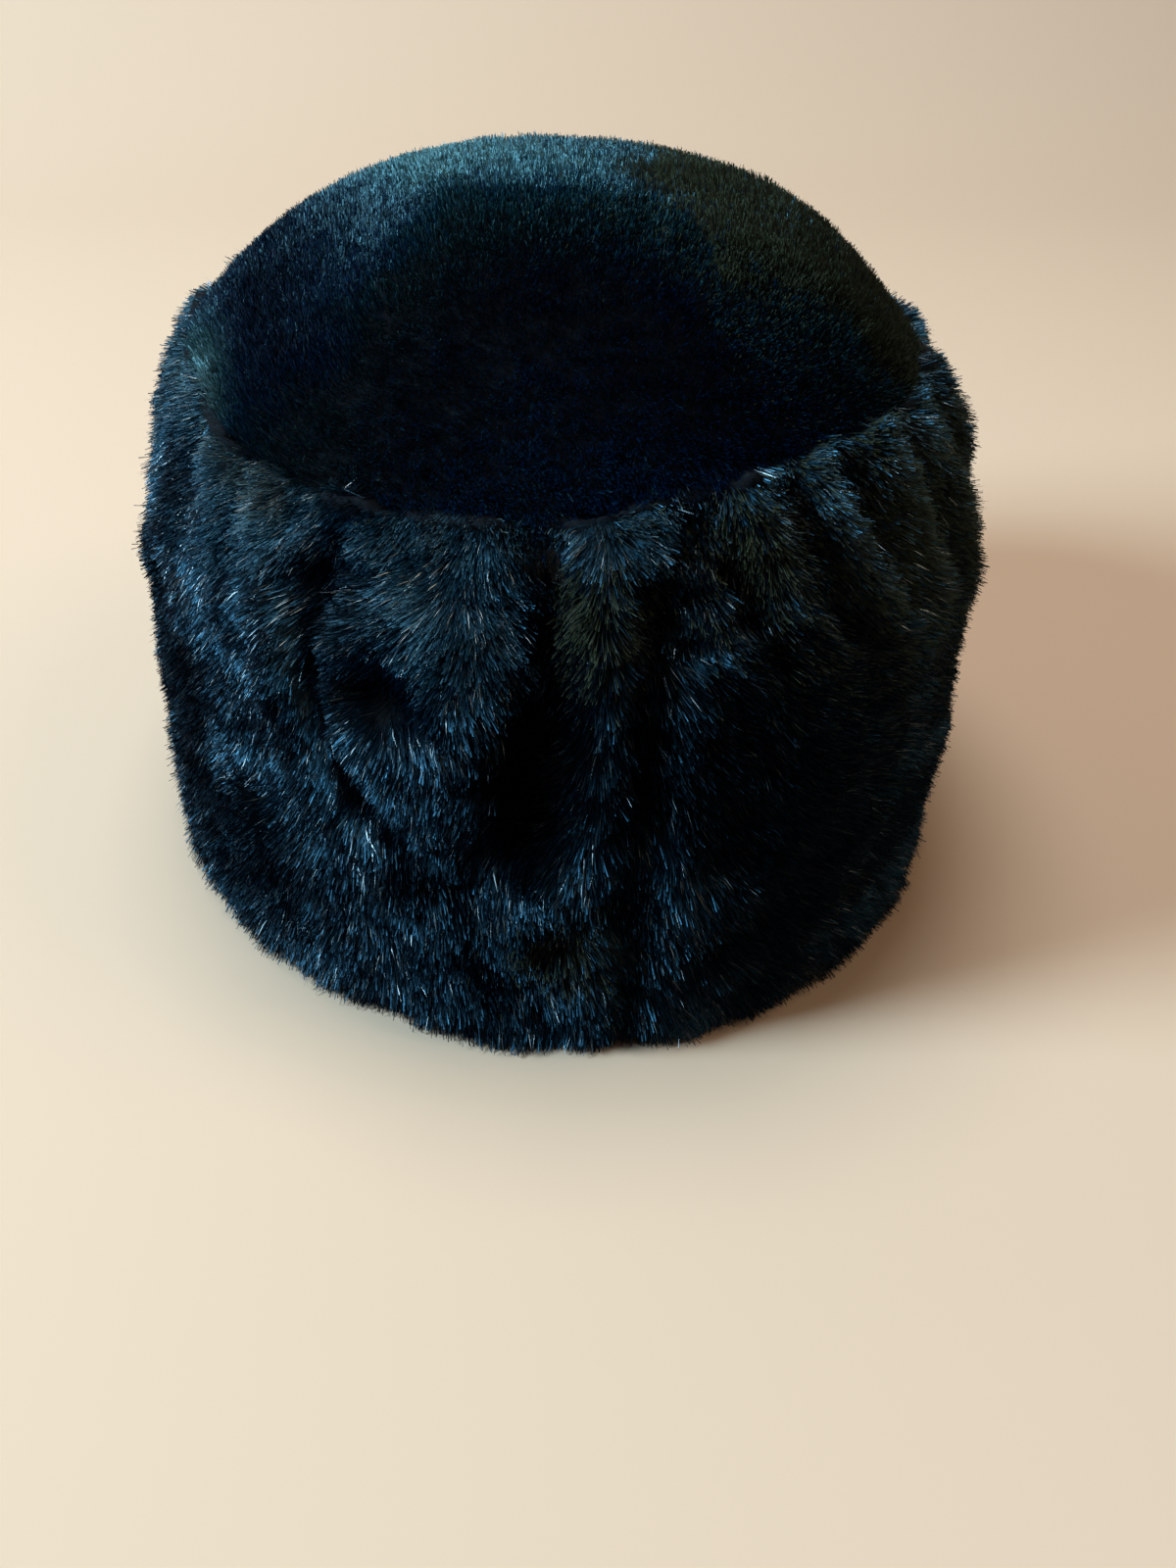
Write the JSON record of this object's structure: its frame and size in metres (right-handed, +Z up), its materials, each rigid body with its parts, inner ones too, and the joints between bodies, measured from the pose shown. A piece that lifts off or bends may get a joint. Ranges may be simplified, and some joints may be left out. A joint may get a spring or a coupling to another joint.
{
  "type": "fur pillbox hat",
  "caption": "Tall oval pillbox hat of black short-pile fur: a domed top seamed into a softly creased side band with a turned-in hem.",
  "frame": {"origin": "on the surface that the hem rests on, under the middle of the hat's box", "axes": "+Z up through the crown; +Y towards the back of the head, where the band's seam is; +X towards the wearer's left"},
  "size_m": [0.2242, 0.255, 0.1769],
  "materials": {
    "crown_fur": "short black fur pile, soft sheen",
    "band_fur": "black fur pile, glossy hair tips"
  },
  "bodies": {
    "root": {"crown_tip": "crown_fur", "side_band": "band_fur"}
  },
  "joints": []
}
